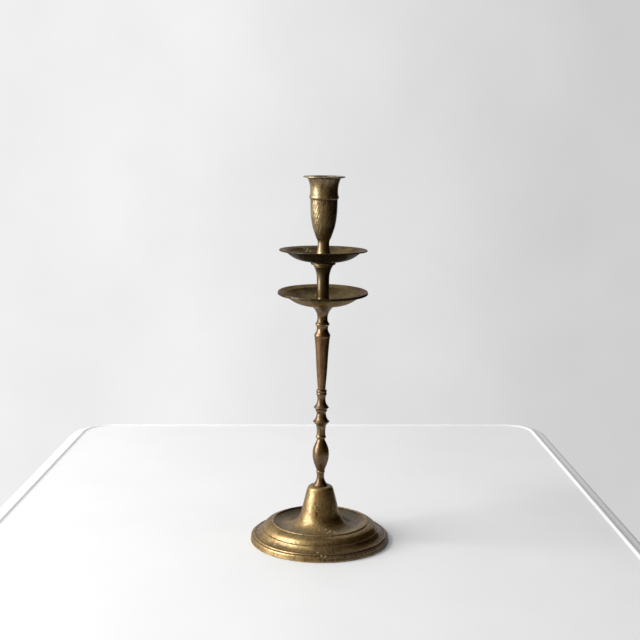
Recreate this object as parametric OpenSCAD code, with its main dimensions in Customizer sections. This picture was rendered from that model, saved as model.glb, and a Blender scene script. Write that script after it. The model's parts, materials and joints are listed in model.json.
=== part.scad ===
/* [Base] */
// Diameter of the foot ring that stands on the table
base_d = 134; // [120:0.5:150]
// Height of the upright skirt round the foot
skirt_h = 4.5; // [3:0.1:6]
// How far the skirt draws in at each side between its foot and its top
skirt_draft = 0.5; // [0.3:0.1:1.4]
// Width of the rounded shoulder at the top of the skirt
skirt_shoulder_w = 1.6; // [1:0.1:2.4]
// Height of that rounded shoulder
skirt_round = 1.3; // [0.8:0.1:2]
// Width of the thin raised ridge just inside the skirt
ridge_w = 2.6; // [1.6:0.1:3.2]
// Height of the ridge above the groove beside it
ridge_h = 1.4; // [0.6:0.1:1.8]
// Width of the hollow ledge between the ridge and the dome
ledge_w = 5.9; // [4:0.1:7]
// Rise of the hollow ledge, from the groove to its upper edge
ledge_rise = 6.1; // [5:0.1:8]
// Width of the narrow step between the ledge and the dome
dome_step = 0.7; // [0.5:0.1:1.2]
// Diameter of the raised bead round the dish, which is the dome's crest
crest_d = 90.6; // [84:0.2:94]
// Rise from the ledge's upper edge to the top of the crest's bead
dome_rise = 7.5; // [5:0.1:9]
// Width of the crest's bead
crest_lip = 2.6; // [2:0.1:3.6]
// Height of the crest's bead above the dome
crest_bead_h = 1.1; // [0.6:0.1:1.6]
// Depth of the dish round the boss, below the crest's bead
dish_depth = 4.5; // [3:0.1:5.5]
// Diameter of the lowest ring of the dish
dish_d = 68; // [60:0.5:74]
// Diameter of the boss where its flare leaves the dish
flare_d = 43; // [36:0.5:52]
// Height of that place above the bottom of the dish
flare_h = 6.8; // [4:0.1:10]
// Diameter of the boss at its waist, above the flare
waist_d = 33.6; // [28:0.2:38]
// Height of the waist above the bottom of the dish
waist_h = 19.4; // [14:0.2:24]
// Diameter of the boss where its shoulder begins
shoulder_d = 25.4; // [20:0.2:28]
// Height of the straight part of the boss, from waist to shoulder
boss_straight = 16.2; // [12:0.2:22]
// Diameter of the boss's flat top, on which the stem stands
boss_top_d = 18.2; // [16:0.2:22]
// Height of the rounded shoulder under the flat top
shoulder_h = 3.6; // [3:0.1:7]
// Thickness of the cast wall
base_wall = 2.6; // [2:0.1:3.4]
// Thickness of the metal under the stem
boss_cap = 4.6; // [3.4:0.1:6]

/* [Baluster] */
// Diameter of the foot that stands on the boss
baluster_foot_d = 14; // [11:0.1:17]
// Thickness of the foot's edge
baluster_foot_edge = 0.7; // [0.4:0.1:1.4]
// Height of the foot's flare up to the neck
baluster_flare = 8.6; // [4:0.1:9]
// Diameter of the neck above the foot
baluster_neck_d = 7; // [6.8:0.1:8]
// Height of the plain neck, from the flare to the bead
baluster_neck_h = 2.4; // [1.5:0.1:4]
// Diameter of the small bead between neck and belly
baluster_bead_d = 8.2; // [8:0.1:10]
// Height of the bead
baluster_bead_h = 3; // [2:0.1:4]
// Diameter just above the bead, where the belly starts
baluster_root_d = 7.5; // [7.2:0.1:8.6]
// Largest diameter of the belly
belly_d = 15.9; // [12:0.1:19]
// Height of the belly below its largest diameter
belly_rise = 16.4; // [12:0.2:22]
// Height of the belly above its largest diameter
belly_fall = 14.8; // [10:0.2:20]
// Diameter of the top, at the joint with the knop
baluster_top_d = 7; // [6.8:0.1:8]

/* [Knop] */
// Height of the groove between the baluster and the knop's lip
knop_groove_h = 0.9; // [0.4:0.1:1.6]
// Diameter of the lip at the foot of the knop
knop_lip_d = 9.4; // [8:0.1:12]
// Height of the lip, from the groove to the spool
knop_lip_h = 2; // [1:0.1:3]
// Diameter of the spool's waist
spool_d = 8.3; // [7.6:0.1:10]
// Height of the spool, from the lip to the lower disc
spool_h = 11; // [7:0.1:14]
// Diameter of the spool's top, in the groove under the lower disc
spool_top_d = 10; // [9:0.1:12]
// Diameter at the root of the lower disc
lower_root_d = 11; // [10:0.1:13]
// Height of the lower disc's underside, up to its sharp edge
lower_disc_under = 3.5; // [2:0.1:5]
// Diameter of the lower disc's sharp edge
lower_disc_d = 16; // [14:0.1:18]
// Height of the lower disc's hollow back, up to the middle neck
lower_disc_back = 7.2; // [5:0.1:10]
// Diameter of the neck between the two discs
mid_neck_d = 9; // [8:0.1:10]
// Height from the middle neck to the upper disc's collar
mid_neck_h = 2.4; // [1.6:0.1:4]
// Diameter of the upper disc's collar
upper_collar_d = 11.2; // [10:0.1:13]
// Height of that collar
upper_collar_h = 2.4; // [1:0.1:3]
// Height of the upper disc's underside, up to its sharp edge
upper_disc_under = 1.7; // [1:0.1:3]
// Diameter of the upper disc's sharp edge
upper_disc_d = 14.8; // [13:0.1:17]
// Height of the upper disc's hollow back, up to the upper neck
upper_disc_back = 8.1; // [6:0.1:11]
// Diameter of the neck above the upper disc
upper_neck_d = 7.8; // [7.6:0.1:9]
// Height from the upper neck to the socket ring
upper_neck_h = 3.8; // [3:0.1:6]
// Diameter of the double ring that the shaft stands in
socket_ring_d = 10.1; // [9:0.1:12]
// Height of each of the ring's two beads
socket_bead_h = 2.6; // [1.6:0.1:3.4]

/* [Shaft] */
// Diameter of the shaft's foot, on the knop
shaft_foot_d = 7.2; // [6.8:0.1:8.4]
// Diameter of the shaft at mid height
shaft_mid_d = 11.2; // [9.5:0.1:12.5]
// Diameter of the shaft just under its shoulder
shaft_top_d = 14.7; // [13:0.1:17]
// Height of the lower half of the taper
shaft_lower_h = 27.2; // [20:0.2:34]
// Height of the upper half of the taper
shaft_upper_h = 23.6; // [18:0.2:30]
// Diameter of the shoulder ring
shaft_shoulder_d = 15.3; // [13.6:0.1:18]
// Height of the shoulder ring's edge
shaft_shoulder_h = 3; // [1:0.1:4]
// Height of the hollow from the shoulder to the joint
shaft_hollow_h = 5.3; // [4:0.1:9]
// Diameter at the joint with the capital
shaft_joint_d = 10.7; // [9:0.1:12]

/* [Capital] */
// Diameter of the bead above the joint
capital_bead_d = 13.7; // [12:0.1:16]
// Height from the joint to the middle of the bead
capital_bead_rise = 4.3; // [3:0.1:6]
// Height of the hollow above the bead, up to the neck
capital_hollow_h = 5.6; // [4:0.1:8]
// Diameter of the neck
capital_neck_d = 9.8; // [8.8:0.1:11]
// Height of the trumpet from the neck to the lip
capital_trumpet_h = 10; // [7:0.1:13]
// Diameter of the trumpet under its lip
capital_trumpet_d = 18; // [14:0.1:20]
// Diameter of the lip that carries the lower pan
capital_lip_d = 19.4; // [18:0.1:24]
// Thickness of the lip
capital_lip_h = 1.2; // [0.8:0.1:2]

/* [Drip pans] */
// Diameter of the lower pan's rim
lower_pan_d = 84.8; // [70:0.2:96]
// Diameter of the upper pan's rim
upper_pan_d = 82.8; // [70:0.2:96]
// Height of the lower pan's rim edge
lower_rim_edge = 2; // [1:0.1:3]
// Height of the upper pan's rim edge
upper_rim_edge = 1.3; // [1:0.1:3]
// Rise of the lower pan from its seat to the top of its rim
lower_pan_h = 14.4; // [10:0.1:18]
// Rise of the upper pan from its seat to the top of its rim
upper_pan_h = 14.2; // [10:0.1:18]
// Width of the almost flat flange inside the rim
pan_flange_w = 6.4; // [4:0.1:9]
// Fall of the flange towards the bowl
pan_flange_fall = 1.4; // [0.6:0.1:3]
// Thickness of the pan's wall
pan_wall = 1.5; // [1.2:0.1:2]
// Diameter of the turned ring under each pan, which is its seat
pan_ring_d = 23.4; // [21:0.1:28]
// Height of the ring under the lower pan
lower_ring_h = 1; // [0.6:0.1:3]
// Height of the ring under the upper pan
upper_ring_h = 2.4; // [0.6:0.1:3]
// Thickness of the pan's flat middle above the ring
pan_hub_h = 2; // [1.6:0.1:3]
// Diameter of the flat middle inside the pan
pan_hub_d = 24.4; // [22:0.1:32]

/* [Spacer] */
// Diameter of the spacer's foot on the lower pan
spacer_foot_d = 16.4; // [13:0.1:20]
// Height of the foot's flare
spacer_foot_h = 7.4; // [3:0.1:9]
// Diameter of the plain column
spacer_d = 11.8; // [10.4:0.1:14]
// Height of the plain column, from the foot's flare to the trumpet
spacer_column_h = 11.4; // [9:0.2:24]
// Height of the trumpet under the upper pan
spacer_trumpet_h = 15.4; // [9:0.1:16]
// Diameter of the trumpet under its steps
spacer_trumpet_d = 16.8; // [14:0.1:20]
// Diameter of the narrow step between trumpet and lip
spacer_step_d = 17.6; // [15:0.1:21]
// Height of the narrow step
spacer_step_h = 1.2; // [0.6:0.1:2]
// Diameter of the lip that carries the upper pan
spacer_lip_d = 19.4; // [18:0.1:24]
// Thickness of the lip
spacer_lip_h = 1.3; // [0.8:0.1:2.4]

/* [Candle cup] */
// Diameter of the cup's foot on the upper pan
cup_foot_d = 17.6; // [15:0.1:20]
// Height of the foot, from the pan to the neck
cup_foot_h = 12.8; // [9:0.1:16]
// Diameter of the neck
cup_neck_d = 11.2; // [9.6:0.1:13]
// Height from the neck to the fine step under the body
cup_neck_h = 6.4; // [4:0.1:9]
// Diameter at the fine step
cup_step_d = 12.2; // [11:0.1:15]
// Height of the rounded lower body, from the step to the ring
cup_bowl_h = 37.3; // [30:0.2:44]
// Diameter of the body under the ring
cup_body_d = 25.7; // [25.4:0.1:29]
// Diameter of the ring round the body
cup_ring_d = 27.6; // [27.2:0.1:31]
// Height of the ring
cup_ring_h = 3.9; // [3:0.1:5]
// Smallest diameter of the collar above the ring
cup_collar_d = 26; // [25.4:0.1:29]
// Height of the collar, from the ring to the rim
cup_collar_h = 16.2; // [12:0.2:22]
// Diameter of the collar under the rim
cup_mouth_d = 31.8; // [28:0.1:35]
// Diameter of the flat rim
cup_rim_d = 39.4; // [36:0.1:46]
// Thickness of the flat rim
cup_rim_h = 1.3; // [0.8:0.1:2]
// Diameter of the socket bore, for a 22 mm candle
socket_d = 22.4; // [20:0.1:23]
// Length of the socket's straight bore
socket_h = 24; // [18:0.5:28]
// Width of the flare at the socket's mouth
socket_flare = 1.8; // [1:0.1:2]
// Depth of the hollow cone under the socket
socket_cone_h = 20; // [10:0.5:24]
// Diameter of the flat bottom of that cone
socket_bottom_d = 9; // [6:0.1:12]

/* [Threads] */
// Diameter of the studs in the base, the capital and the pans
stud_d = 5; // [4:0.1:5.4]
// Thread pitch of those studs
stud_pitch = 0.8; // [0.5:0.05:1]
// Diameter of the studs in the stem's two slender joints
thin_stud_d = 4; // [3:0.1:4.4]
// Thread pitch of the thin studs
thin_pitch = 0.7; // [0.5:0.05:1]
// Length of a pan stud in the piece that carries the pan
pan_stud_root = 8; // [5:0.2:9]
// Length of a pan stud in the piece above the pan, which unscrews
pan_stud_grip = 9; // [6:0.2:10]
// Length of each stem stud in either piece that it joins
stem_stud_grip = 7; // [5:0.2:8]
// Length of the base stud in the baluster's foot
base_stud_grip = 6; // [4:0.2:6.4]
// Length of the base stud that stands out below the nut
stud_tail = 3.2; // [1:0.1:6]
// Width of the nut under the base, across its flats
nut_w = 8; // [7:0.1:10]
// Thickness of the nut
nut_h = 4; // [3:0.1:5]
// Diameter of the washer between nut and base
washer_d = 15; // [11:0.1:16]
// Thickness of the washer
washer_h = 1.2; // [0.8:0.1:2]

/* [Fits] */
// Gap all round between a stud's thread and its tapped hole
thread_gap = 0.05; // [0.02:0.01:0.1]
// Gap all round between a stud and the plain hole of a pan, the washer or the base
hole_gap = 0.25; // [0.15:0.05:0.4]
// Depth of a tapped hole past the end of its stud
hole_spare = 0.8; // [0.5:0.1:1.5]

/* [Hidden] */

// Sides of a full turn, and points along one curved stretch of an outline
turn_sides = 96;
curve_points = 8;
// How long a curve holds the direction of its ends, as a share of the straight way
hold_share = 0.4;
// Overrun of every cut past the face that it opens
overrun = 0.5;
// Depth of a thread as a share of its pitch
thread_depth_share = 0.6;
// Small break on a turned edge
edge_break = 0.4;

// Heights of the pieces, each from its own foot to its seat for the next
base_h = skirt_h + skirt_round + ledge_rise + dome_rise - dish_depth
    + waist_h + boss_straight + shoulder_h;
baluster_h = baluster_foot_edge + baluster_flare + baluster_neck_h + baluster_bead_h
    + belly_rise + belly_fall;
knop_h = knop_groove_h + knop_lip_h + spool_h + lower_disc_under + lower_disc_back
    + mid_neck_h + upper_collar_h + upper_disc_under + upper_disc_back + upper_neck_h
    + 2 * socket_bead_h;
shaft_h = shaft_lower_h + shaft_upper_h + shaft_shoulder_h + shaft_hollow_h;
capital_h = capital_bead_rise + capital_hollow_h + capital_trumpet_h + capital_lip_h;
spacer_h = spacer_foot_h + spacer_column_h + spacer_trumpet_h + spacer_step_h + spacer_lip_h;

// Height of each joint above the table
baluster_z = base_h;
knop_z = baluster_z + baluster_h;
shaft_z = knop_z + knop_h;
capital_z = shaft_z + shaft_h;
lower_pan_z = capital_z + capital_h;
spacer_z = lower_pan_z + lower_ring_h + pan_hub_h;
upper_pan_z = spacer_z + spacer_h;
cup_z = upper_pan_z + upper_ring_h + pan_hub_h;
nut_seat_z = base_h - boss_cap - washer_h;

// Colours of the metal: cast base, yellow brass, coppery shaft and steel studs
base_colour = [0.62, 0.50, 0.24];
brass_colour = [0.49, 0.41, 0.24];
shaft_colour = [0.47, 0.36, 0.25];
steel_colour = [0.45, 0.44, 0.42];

// An outline is a list of stations from bottom to top: [radius, height, lean in, lean out].
// A lean is the outline's direction in degrees from straight up, outwards positive. A
// stretch is curved where the stations at both its ends give a lean, and straight elsewhere.
function place(s) = [s[0], s[1]];
function lean_in(s) = s[2];
function lean_out(s) = len(s) > 3 ? s[3] : s[2];
function heading(lean) = [sin(lean), cos(lean)];
function curve(a, b) =
    let (p = place(a), q = place(b), hold = norm(q - p) * hold_share)
    let (c = p + hold * heading(lean_out(a)), d = q - hold * heading(lean_in(b)))
    [for (i = [1:curve_points]) let (t = i / curve_points, u = 1 - t)
        u * u * u * p + 3 * u * u * t * c + 3 * u * t * t * d + t * t * t * q];
function stretch(a, b) =
    is_undef(lean_out(a)) || is_undef(lean_in(b)) ? [place(b)] : curve(a, b);
function outline(stations) = concat(
    [place(stations[0])],
    [for (i = [1:len(stations) - 1]) each stretch(stations[i - 1], stations[i])]
);

// Half of a diameter, so that stations can be written in diameters
function r(d) = d / 2;

// A solid of revolution with the given outline
module turned(stations) {
    side = outline(stations);
    foot = [0, side[0][1]];
    top = [0, side[len(side) - 1][1]];
    rotate_extrude($fn = turn_sides) polygon(concat([foot], side, [top]));
}

// A hole on the axis from one height to another
module hole(d, gap, from, to) {
    translate([0, 0, from]) cylinder(h = to - from, r = r(d) + gap, $fn = turn_sides);
}

// A threaded stud: its thread is drawn as a row of rings, one for each pitch
module stud(d, pitch, length) {
    depth = pitch * thread_depth_share;
    turns = floor((length - pitch) / pitch);
    start = (length - turns * pitch) / 2;
    rings = [for (i = [0:turns - 1]) each [
        [r(d), start + (i + 1 / 4) * pitch],
        [r(d) - depth, start + (i + 3 / 4) * pitch]
    ]];
    rotate_extrude($fn = turn_sides) polygon(concat(
        [[0, 0], [r(d) - depth, 0], [r(d) - depth, start - pitch / 4]],
        rings,
        [[r(d) - depth, length], [0, length]]
    ));
}

// The base's outer outline, from the table up to the boss's flat top
skirt_r = r(base_d) - skirt_draft - skirt_shoulder_w;
skirt_z = skirt_h + skirt_round;
ridge_r = skirt_r - edge_break;
ledge_r = ridge_r - ridge_w;
dome_r = ledge_r - ledge_w;
dome_z = skirt_z + ledge_rise;
crest_z = dome_z + dome_rise;
dome_top_r = r(crest_d) + r(crest_lip);
dish_z = crest_z - dish_depth;
waist_z = dish_z + waist_h;
shoulder_z = waist_z + boss_straight;

ledge_foot = [ledge_r, skirt_z + ridge_h - edge_break / 2, -66];
ledge_top = [dome_r, dome_z, -30];
dome_top = [dome_top_r, crest_z - crest_bead_h, -82];
dish_ring = [r(dish_d), dish_z, -90];
flare = [r(flare_d), dish_z + flare_h, -38];
waist = [r(waist_d), waist_z, -14];
shoulder = [r(shoulder_d), shoulder_z, -16];

module base() {
    color(base_colour) difference() {
        turned([
            [r(base_d) - edge_break, 0],
            [r(base_d), edge_break],
            [r(base_d) - skirt_draft, skirt_h, -10],
            [skirt_r, skirt_z, -80, undef],
            [ridge_r, skirt_z, undef, 0],
            [ridge_r - r(ridge_w), skirt_z + ridge_h, -90],
            ledge_foot,
            [dome_r, dome_z, lean_in(ledge_top), undef],
            [dome_r - dome_step, dome_z, undef, -20],
            [dome_top_r, crest_z - crest_bead_h, lean_in(dome_top), -20],
            [r(crest_d), crest_z, -90],
            [r(crest_d) - r(crest_lip), crest_z - crest_bead_h, -150, -120],
            dish_ring,
            flare,
            waist,
            shoulder,
            [r(boss_top_d), base_h, -80]
        ]);
        base_hollow();
        hole(stud_d, hole_gap, base_h - boss_cap - overrun, base_h + overrun);
    }
}

// A place moved into the metal by the wall, square to the outline
function inset(s) = [s[0] - base_wall * cos(s[2]), s[1] + base_wall * sin(s[2]), s[2]];

// The hollow under the base follows the outside at the wall's thickness
module base_hollow() {
    rim = r(base_d) - base_wall;
    turned([
        [rim, -overrun],
        [rim, skirt_h - base_wall / 2],
        place(inset(ledge_foot)),
        concat(place(inset(ledge_top)), [undef, -28]),
        inset(dome_top),
        inset(dish_ring),
        inset(flare),
        inset(waist),
        [r(shoulder_d) - base_wall, base_h - boss_cap, -14]
    ]);
}

module base_washer() {
    color(brass_colour) translate([0, 0, nut_seat_z]) difference() {
        turned([
            [r(washer_d) - edge_break, 0],
            [r(washer_d), edge_break],
            [r(washer_d), washer_h]
        ]);
        hole(stud_d, hole_gap, -overrun, washer_h + overrun);
    }
}

// Hexagon nut with its corners turned off at both faces
module base_nut() {
    corner = nut_w / cos(30);
    color(steel_colour) translate([0, 0, nut_seat_z - nut_h]) difference() {
        intersection() {
            cylinder(h = nut_h, d = corner, $fn = 6);
            turned([
                [r(nut_w), 0],
                [r(corner), edge_break],
                [r(corner), nut_h - edge_break],
                [r(nut_w), nut_h]
            ]);
        }
        hole(stud_d, thread_gap, -overrun, nut_h + overrun);
    }
}

module base_stud() {
    length = stud_tail + nut_h + washer_h + boss_cap + base_stud_grip;
    color(steel_colour) translate([0, 0, base_h + base_stud_grip - length])
        stud(stud_d, stud_pitch, length);
}

module baluster() {
    neck_z = baluster_foot_edge + baluster_flare;
    bead_z = neck_z + baluster_neck_h;
    root_z = bead_z + baluster_bead_h;
    belly_z = root_z + belly_rise;
    color(brass_colour) translate([0, 0, baluster_z]) difference() {
        turned([
            [r(baluster_foot_d), 0],
            [r(baluster_foot_d), baluster_foot_edge, undef, -40],
            [r(baluster_neck_d), neck_z, 0],
            [r(baluster_neck_d), bead_z, 0, 60],
            [r(baluster_bead_d), bead_z + baluster_bead_h / 2, 0],
            [r(baluster_root_d), root_z, -60, 20],
            [r(belly_d), belly_z, 0],
            [r(baluster_top_d), baluster_h, -23]
        ]);
        hole(stud_d, thread_gap, -overrun, base_stud_grip + hole_spare);
        hole(thin_stud_d, thread_gap, baluster_h - stem_stud_grip - hole_spare,
            baluster_h + overrun);
    }
}

module stem_stud(d, pitch, joint_z) {
    color(steel_colour) translate([0, 0, joint_z - stem_stud_grip])
        stud(d, pitch, 2 * stem_stud_grip);
}

module baluster_stud() {
    stem_stud(thin_stud_d, thin_pitch, knop_z);
}

module knop() {
    spool_z = knop_groove_h + knop_lip_h;
    lower_root_z = spool_z + spool_h;
    lower_edge_z = lower_root_z + lower_disc_under;
    mid_neck_z = lower_edge_z + lower_disc_back;
    collar_z = mid_neck_z + mid_neck_h;
    upper_root_z = collar_z + upper_collar_h;
    upper_edge_z = upper_root_z + upper_disc_under;
    upper_neck_z = upper_edge_z + upper_disc_back;
    ring_z = upper_neck_z + upper_neck_h;
    waist_r = r(socket_ring_d) - edge_break;
    color(brass_colour) translate([0, 0, knop_z]) difference() {
        turned([
            [r(baluster_top_d), 0],
            [r(baluster_top_d), edge_break, undef, 50],
            [r(knop_lip_d), knop_groove_h, 30, 0],
            [r(spool_d) + edge_break, spool_z, -40, -14],
            [r(spool_d), spool_z + spool_h / 3, 0],
            [r(spool_top_d), lower_root_z, 16, undef],
            [r(lower_root_d), lower_root_z + edge_break],
            [r(lower_disc_d) - edge_break / 2, lower_edge_z - edge_break],
            [r(lower_disc_d), lower_edge_z, undef, -50],
            [r(mid_neck_d), mid_neck_z, -8],
            [r(mid_neck_d) + edge_break, collar_z, 20, undef],
            [r(upper_collar_d), collar_z + edge_break],
            [r(upper_collar_d), upper_root_z],
            [r(upper_disc_d) - edge_break / 2, upper_edge_z - edge_break],
            [r(upper_disc_d), upper_edge_z, undef, -42],
            [r(upper_neck_d), upper_neck_z, 0],
            [waist_r, ring_z, 18, 40],
            [r(socket_ring_d), ring_z + socket_bead_h / 2, 0],
            [waist_r, ring_z + socket_bead_h, -40, 40],
            [r(socket_ring_d), ring_z + socket_bead_h * 3 / 2, 0],
            [waist_r, knop_h, -60]
        ]);
        hole(thin_stud_d, thread_gap, -overrun, stem_stud_grip + hole_spare);
        hole(thin_stud_d, thread_gap, knop_h - stem_stud_grip - hole_spare, knop_h + overrun);
    }
}

module knop_stud() {
    stem_stud(thin_stud_d, thin_pitch, shaft_z);
}

module shaft() {
    top_z = shaft_lower_h + shaft_upper_h;
    hollow_z = top_z + shaft_shoulder_h;
    color(shaft_colour) translate([0, 0, shaft_z]) difference() {
        turned([
            [r(shaft_foot_d), 0, undef, 5],
            [r(shaft_mid_d), shaft_lower_h, 3],
            [r(shaft_top_d), top_z, 6, 20],
            [r(shaft_shoulder_d), top_z + shaft_shoulder_h / 2, 0],
            [r(shaft_top_d), hollow_z, -30, -34],
            [r(shaft_joint_d), shaft_h, -2]
        ]);
        hole(thin_stud_d, thread_gap, -overrun, stem_stud_grip + hole_spare);
        hole(stud_d, thread_gap, shaft_h - stem_stud_grip - hole_spare, shaft_h + overrun);
    }
}

module shaft_stud() {
    stem_stud(stud_d, stud_pitch, capital_z);
}

module capital() {
    neck_z = capital_bead_rise + capital_hollow_h;
    lip_z = neck_z + capital_trumpet_h;
    color(brass_colour) translate([0, 0, capital_z]) difference() {
        turned([
            [r(shaft_joint_d), 0, undef, 2],
            [r(capital_bead_d) - edge_break, capital_bead_rise - edge_break * 2, 40],
            [r(capital_bead_d), capital_bead_rise, 0],
            [r(capital_bead_d) - edge_break, capital_bead_rise + edge_break * 2, -40],
            [r(capital_neck_d), neck_z, 0],
            [r(capital_trumpet_d), lip_z, 38, undef],
            [r(capital_lip_d), lip_z + edge_break],
            [r(capital_lip_d), capital_h]
        ]);
        hole(stud_d, thread_gap, -overrun, stem_stud_grip + hole_spare);
        hole(stud_d, thread_gap, capital_h - pan_stud_root - hole_spare, capital_h + overrun);
    }
}

module pan_stud(pan_z, ring_h) {
    color(steel_colour) translate([0, 0, pan_z - pan_stud_root])
        stud(stud_d, stud_pitch, pan_stud_root + ring_h + pan_hub_h + pan_stud_grip);
}

module lower_pan_stud() {
    pan_stud(lower_pan_z, lower_ring_h);
}

// A drip pan: a round bowl with an almost flat flange, on a short turned ring
module pan(d, height, rim_edge, ring_h) {
    floor_z = ring_h + pan_hub_h;
    flange_r = r(d) - pan_flange_w;
    under_z = height - rim_edge - pan_flange_fall;
    inside_z = under_z + pan_wall;
    difference() {
        turned([
            [r(pan_ring_d) - edge_break, 0],
            [r(pan_ring_d), edge_break],
            [r(pan_ring_d), ring_h, undef, 85],
            [flange_r, under_z, 48, 74],
            [r(d) - edge_break, height - rim_edge, 80, undef],
            [r(d), height - rim_edge + edge_break],
            [r(d), height - edge_break],
            [r(d) - edge_break, height, undef, -100],
            [flange_r + edge_break, inside_z, -106, -130],
            [r(pan_hub_d), floor_z, -98, undef]
        ]);
        hole(stud_d, hole_gap, -overrun, floor_z + overrun);
    }
}

module lower_pan() {
    color(brass_colour) translate([0, 0, lower_pan_z])
        pan(lower_pan_d, lower_pan_h, lower_rim_edge, lower_ring_h);
}

module spacer() {
    column_z = spacer_foot_h + spacer_column_h;
    step_z = column_z + spacer_trumpet_h;
    lip_z = step_z + spacer_step_h;
    color(brass_colour) translate([0, 0, spacer_z]) difference() {
        turned([
            [r(spacer_foot_d), 0, undef, -30],
            [r(spacer_d), spacer_foot_h, 0],
            [r(spacer_d), column_z, 0],
            [r(spacer_trumpet_d), step_z, 25, undef],
            [r(spacer_step_d), step_z + edge_break / 2],
            [r(spacer_step_d), lip_z],
            [r(spacer_lip_d), lip_z + edge_break],
            [r(spacer_lip_d), spacer_h]
        ]);
        hole(stud_d, thread_gap, -overrun, pan_stud_grip + hole_spare);
        hole(stud_d, thread_gap, spacer_h - pan_stud_root - hole_spare, spacer_h + overrun);
    }
}

module upper_pan_stud() {
    pan_stud(upper_pan_z, upper_ring_h);
}

module upper_pan() {
    color(brass_colour) translate([0, 0, upper_pan_z])
        pan(upper_pan_d, upper_pan_h, upper_rim_edge, upper_ring_h);
}

// The candle cup: a goblet with a ring round it and a flat rim
module candle_cup() {
    step_z = cup_foot_h + cup_neck_h;
    ring_z = step_z + cup_bowl_h;
    collar_z = ring_z + cup_ring_h;
    rim_z = collar_z + cup_collar_h;
    cup_h = rim_z + cup_rim_h;
    shelf_z = cup_h - socket_flare - socket_h;
    color(brass_colour) translate([0, 0, cup_z]) difference() {
        turned([
            [r(cup_foot_d), 0, undef, -20],
            [r(cup_neck_d), cup_foot_h, -4],
            [r(cup_step_d), step_z, 18, undef],
            [r(cup_step_d) + edge_break, step_z + edge_break / 2, undef, 22],
            [r(cup_body_d) - edge_break, ring_z - cup_bowl_h / 3, 4],
            [r(cup_body_d), ring_z, 2, 60],
            [r(cup_ring_d), ring_z + cup_ring_h / 2, 0],
            [r(cup_collar_d) + edge_break / 2, collar_z, -60, -4],
            [r(cup_collar_d), collar_z + cup_collar_h / 5, 0],
            [r(cup_mouth_d), rim_z, 25, undef],
            [r(cup_rim_d) - edge_break, rim_z],
            [r(cup_rim_d), rim_z + edge_break],
            [r(cup_rim_d), cup_h - edge_break],
            [r(cup_rim_d) - edge_break, cup_h]
        ]);
        hole(stud_d, thread_gap, -overrun, pan_stud_grip + hole_spare);
        translate([0, 0, shelf_z])
            cylinder(h = socket_h + socket_flare + overrun, d = socket_d, $fn = turn_sides);
        turned([
            [r(socket_d), shelf_z + socket_h, undef, 10],
            [r(socket_d) + socket_flare, cup_h, 80, undef],
            [r(socket_d) + socket_flare, cup_h + overrun]
        ]);
        translate([0, 0, shelf_z - socket_cone_h])
            cylinder(h = socket_cone_h, d1 = socket_bottom_d, d2 = socket_d, $fn = turn_sides);
    }
}

base();
base_washer();
base_nut();
base_stud();
baluster();
baluster_stud();
knop();
knop_stud();
shaft();
shaft_stud();
capital();
lower_pan_stud();
lower_pan();
spacer();
upper_pan_stud();
upper_pan();
candle_cup();
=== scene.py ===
"""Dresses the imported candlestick: worn turned brass, on a white table in soft window light."""

import json
import math
from functools import partial

import bpy
import numpy as np
from bpy.props import FloatProperty, FloatVectorProperty, PointerProperty
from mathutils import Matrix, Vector


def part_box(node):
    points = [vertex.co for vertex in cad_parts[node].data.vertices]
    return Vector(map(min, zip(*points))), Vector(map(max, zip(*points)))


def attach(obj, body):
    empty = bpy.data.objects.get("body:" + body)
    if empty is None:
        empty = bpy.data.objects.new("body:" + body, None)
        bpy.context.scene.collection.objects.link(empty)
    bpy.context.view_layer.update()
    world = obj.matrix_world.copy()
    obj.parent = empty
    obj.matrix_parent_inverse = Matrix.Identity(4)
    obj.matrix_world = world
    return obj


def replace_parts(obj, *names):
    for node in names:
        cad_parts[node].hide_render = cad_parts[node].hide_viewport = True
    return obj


bl_info = {
    "name": "Brass Candlestick",
    "version": (1, 0, 0),
    "blender": (4, 5, 0),
    "location": "View3D > Sidebar > Candlestick",
    "description": "Dresses a turned brass candlestick and sets it on a white table",
    "category": "Add Mesh",
}

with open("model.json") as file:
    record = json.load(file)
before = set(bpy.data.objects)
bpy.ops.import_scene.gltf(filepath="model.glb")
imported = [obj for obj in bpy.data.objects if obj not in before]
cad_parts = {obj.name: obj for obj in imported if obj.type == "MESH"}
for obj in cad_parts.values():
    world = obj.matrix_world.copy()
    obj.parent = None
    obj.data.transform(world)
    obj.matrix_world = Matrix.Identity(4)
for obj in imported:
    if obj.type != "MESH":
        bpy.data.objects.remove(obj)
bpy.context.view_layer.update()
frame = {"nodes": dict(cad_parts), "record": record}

MM = 0.001
TURN = 2 * math.pi
# Circles of a CAD node nearer than this are one circle
SAME = 0.002 * MM
# Spacing at which an outline is first drawn, before its rows are chosen
FINE = 0.04 * MM
# An outline that turns by less than this at a point is a curve there, else it has a corner
CORNER = math.radians(24)
# Rows lie twice as close where an outline bends with this radius
CROWDING = 1.7 * MM
# Rise of a pan's screw in one turn, in millimetres, from the coupling of its joints
SCREW_PITCH = abs(frame["record"]["behaviour"]["couplings"][0]["ratio"]) * TURN / MM
# The stem's bores end within these radii; outside them a surface may be uneven
BORE, BODY = 3 * MM, 3.4 * MM


def linear(code):
    """The linear red, green and blue of an sRGB hex colour."""
    srgb = np.array([int(code[i : i + 2], 16) for i in (1, 3, 5)]) / 255
    return tuple(np.where(srgb <= 0.04045, srgb / 12.92, ((srgb + 0.055) / 1.055) ** 2.4))


def colour(name, code, description):
    """A colour that the user can change, with an sRGB hex default."""
    return FloatVectorProperty(
        name=name, description=description, default=linear(code), subtype="COLOR",
        size=3, min=0, max=1,
    )


def number(name, default, low, high, description, scale=1, **kind):
    """A number that the user can change between two limits; `scale` is its unit's size."""
    return FloatProperty(
        name=name, description=description, default=default * scale, min=low * scale,
        max=high * scale, precision=5, **kind,
    )


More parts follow.
